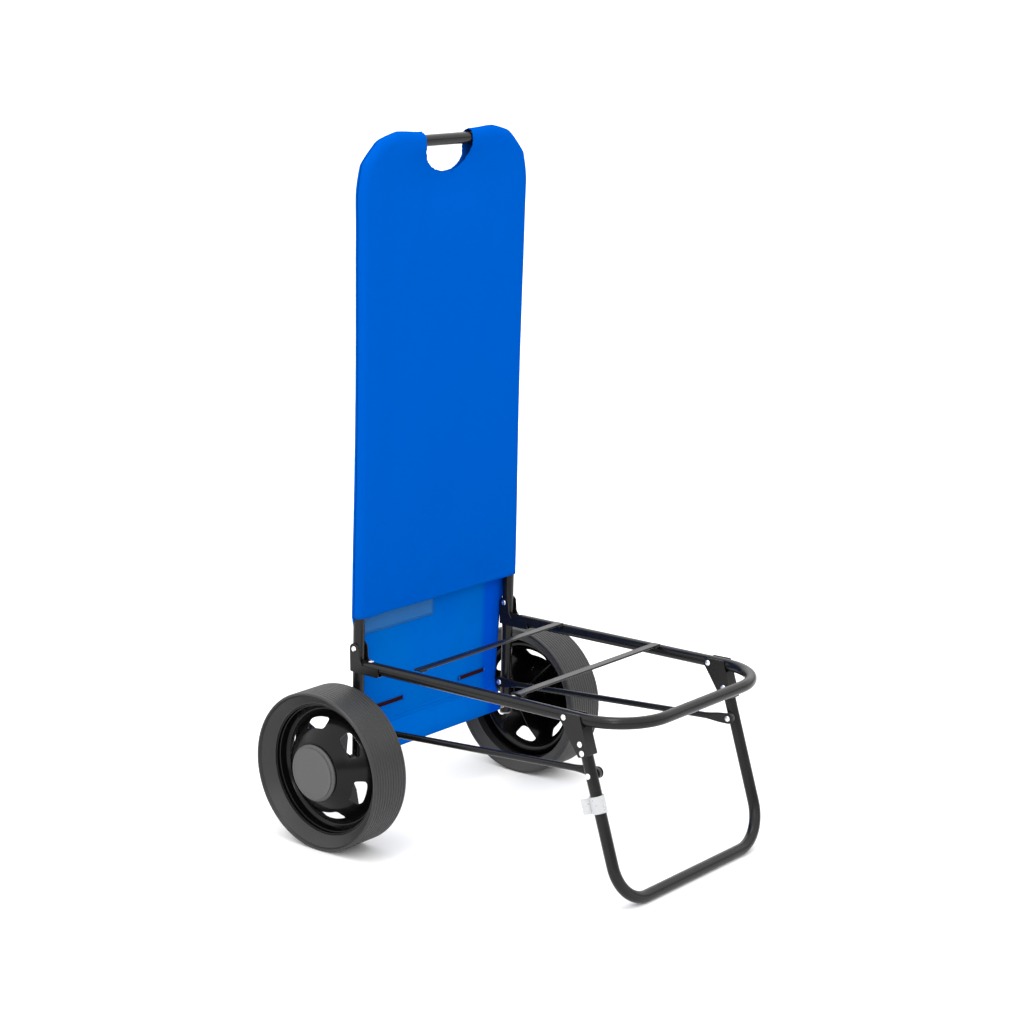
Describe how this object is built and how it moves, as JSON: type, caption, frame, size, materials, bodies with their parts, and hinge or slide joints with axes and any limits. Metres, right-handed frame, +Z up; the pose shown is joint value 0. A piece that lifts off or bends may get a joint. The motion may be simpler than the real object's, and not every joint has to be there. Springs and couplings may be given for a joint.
{
  "type": "beach cart",
  "caption": "Two-wheeled folding beach cart: a leaning tube frame in a fabric sleeve with a hand notch, and a hinged tube platform on a fold-out leg with struts.",
  "frame": {"origin": "on the ground, under the middle of the bounding box", "axes": "+Z up, -Y towards the platform's front, +X across the cart"},
  "size_m": [0.566, 0.662, 1.0805],
  "materials": {
    "black_tube": "gloss powder coat",
    "bright_steel": "bright zinc",
    "sleeve_fabric": "coated woven polyester",
    "slot_webbing": "dark woven binding",
    "patch_fabric": "smooth woven patch",
    "tyre": "matte",
    "rim_plastic": "gloss moulded",
    "hub_cap_plastic": "satin moulded",
    "spacer_plastic": "satin moulded",
    "clip_plastic": "translucent white",
    "plug_plastic": "satin moulded"
  },
  "bodies": {
    "back_frame": {"axle": "bright_steel", "axle_push_nut_left": "bright_steel", "axle_push_nut_right": "bright_steel", "axle_spacer_left": "spacer_plastic", "axle_spacer_right": "spacer_plastic", "axle_washer_left": "bright_steel", "axle_washer_right": "bright_steel", "blank_patch": "patch_fabric", "platform_pivot_rivet_left": "bright_steel", "platform_pivot_rivet_right": "bright_steel", "sleeve_back": "sleeve_fabric", "sleeve_front": "sleeve_fabric", "strap_slot_left": "slot_webbing", "strap_slot_right": "slot_webbing", "strut_pivot_rivet_left": "bright_steel", "strut_pivot_rivet_right": "bright_steel", "strut_pivot_spacer_left": "spacer_plastic", "strut_pivot_spacer_right": "spacer_plastic", "upright_frame": "black_tube", "upright_plug_left": "plug_plastic", "upright_plug_right": "plug_plastic"},
    "platform": {"clevis_bracket_left": "black_tube", "clevis_bracket_right": "black_tube", "clevis_rivet_left": "bright_steel", "clevis_rivet_right": "bright_steel", "crossbar_front": "black_tube", "crossbar_rear": "black_tube", "leg_pivot_rivet_left": "bright_steel", "leg_pivot_rivet_right": "bright_steel", "platform_frame": "black_tube"},
    "leg": {"fold_clip": "clip_plastic", "leg_bracket_left": "black_tube", "leg_bracket_right": "black_tube", "leg_bracket_rivet_lower_left": "bright_steel", "leg_bracket_rivet_lower_right": "bright_steel", "leg_bracket_rivet_upper_left": "bright_steel", "leg_bracket_rivet_upper_right": "bright_steel", "leg_frame": "black_tube", "strut_leg_rivet_left": "bright_steel", "strut_leg_rivet_right": "bright_steel", "strut_leg_spacer_left": "spacer_plastic", "strut_leg_spacer_right": "spacer_plastic"},
    "struts": {"strut_inner_head_left": "bright_steel", "strut_inner_head_right": "bright_steel", "strut_left": "black_tube", "strut_right": "black_tube"},
    "wheel_left": {"hub_cap_left": "hub_cap_plastic", "rim_left": "rim_plastic", "tyre_left": "tyre"},
    "wheel_right": {"hub_cap_right": "hub_cap_plastic", "rim_right": "rim_plastic", "tyre_right": "tyre"}
  },
  "joints": [
    {"name": "platform_fold", "type": "hinge", "parent": "back_frame", "child": "platform", "pos_m": [0, 0.20011, 0.3035], "axis": [-1, 0, 0], "range_deg": [0, 88.11]},
    {"name": "leg_fold", "type": "hinge", "parent": "platform", "child": "leg", "pos_m": [0, -0.2095, 0.2765], "axis": [1, 0, 0], "range_deg": [0, 106.49]},
    {"name": "strut_fold", "type": "hinge", "parent": "back_frame", "child": "struts", "pos_m": [0, 0.20458, 0.16798], "axis": [-1, 0, 0], "range_deg": [0, 78.79]},
    {"name": "wheel_left_spin", "type": "hinge", "parent": "back_frame", "child": "wheel_left", "pos_m": [-0.24025, 0.206, 0.125], "axis": [1, 0, 0], "continuous": true},
    {"name": "wheel_right_spin", "type": "hinge", "parent": "back_frame", "child": "wheel_right", "pos_m": [0.24025, 0.206, 0.125], "axis": [1, 0, 0], "continuous": true}
  ],
  "couplings": [
    {"joint": "leg_fold", "follows": "platform_fold", "ratio": 1.2085},
    {"joint": "strut_fold", "follows": "platform_fold", "ratio": 0.89414}
  ]
}
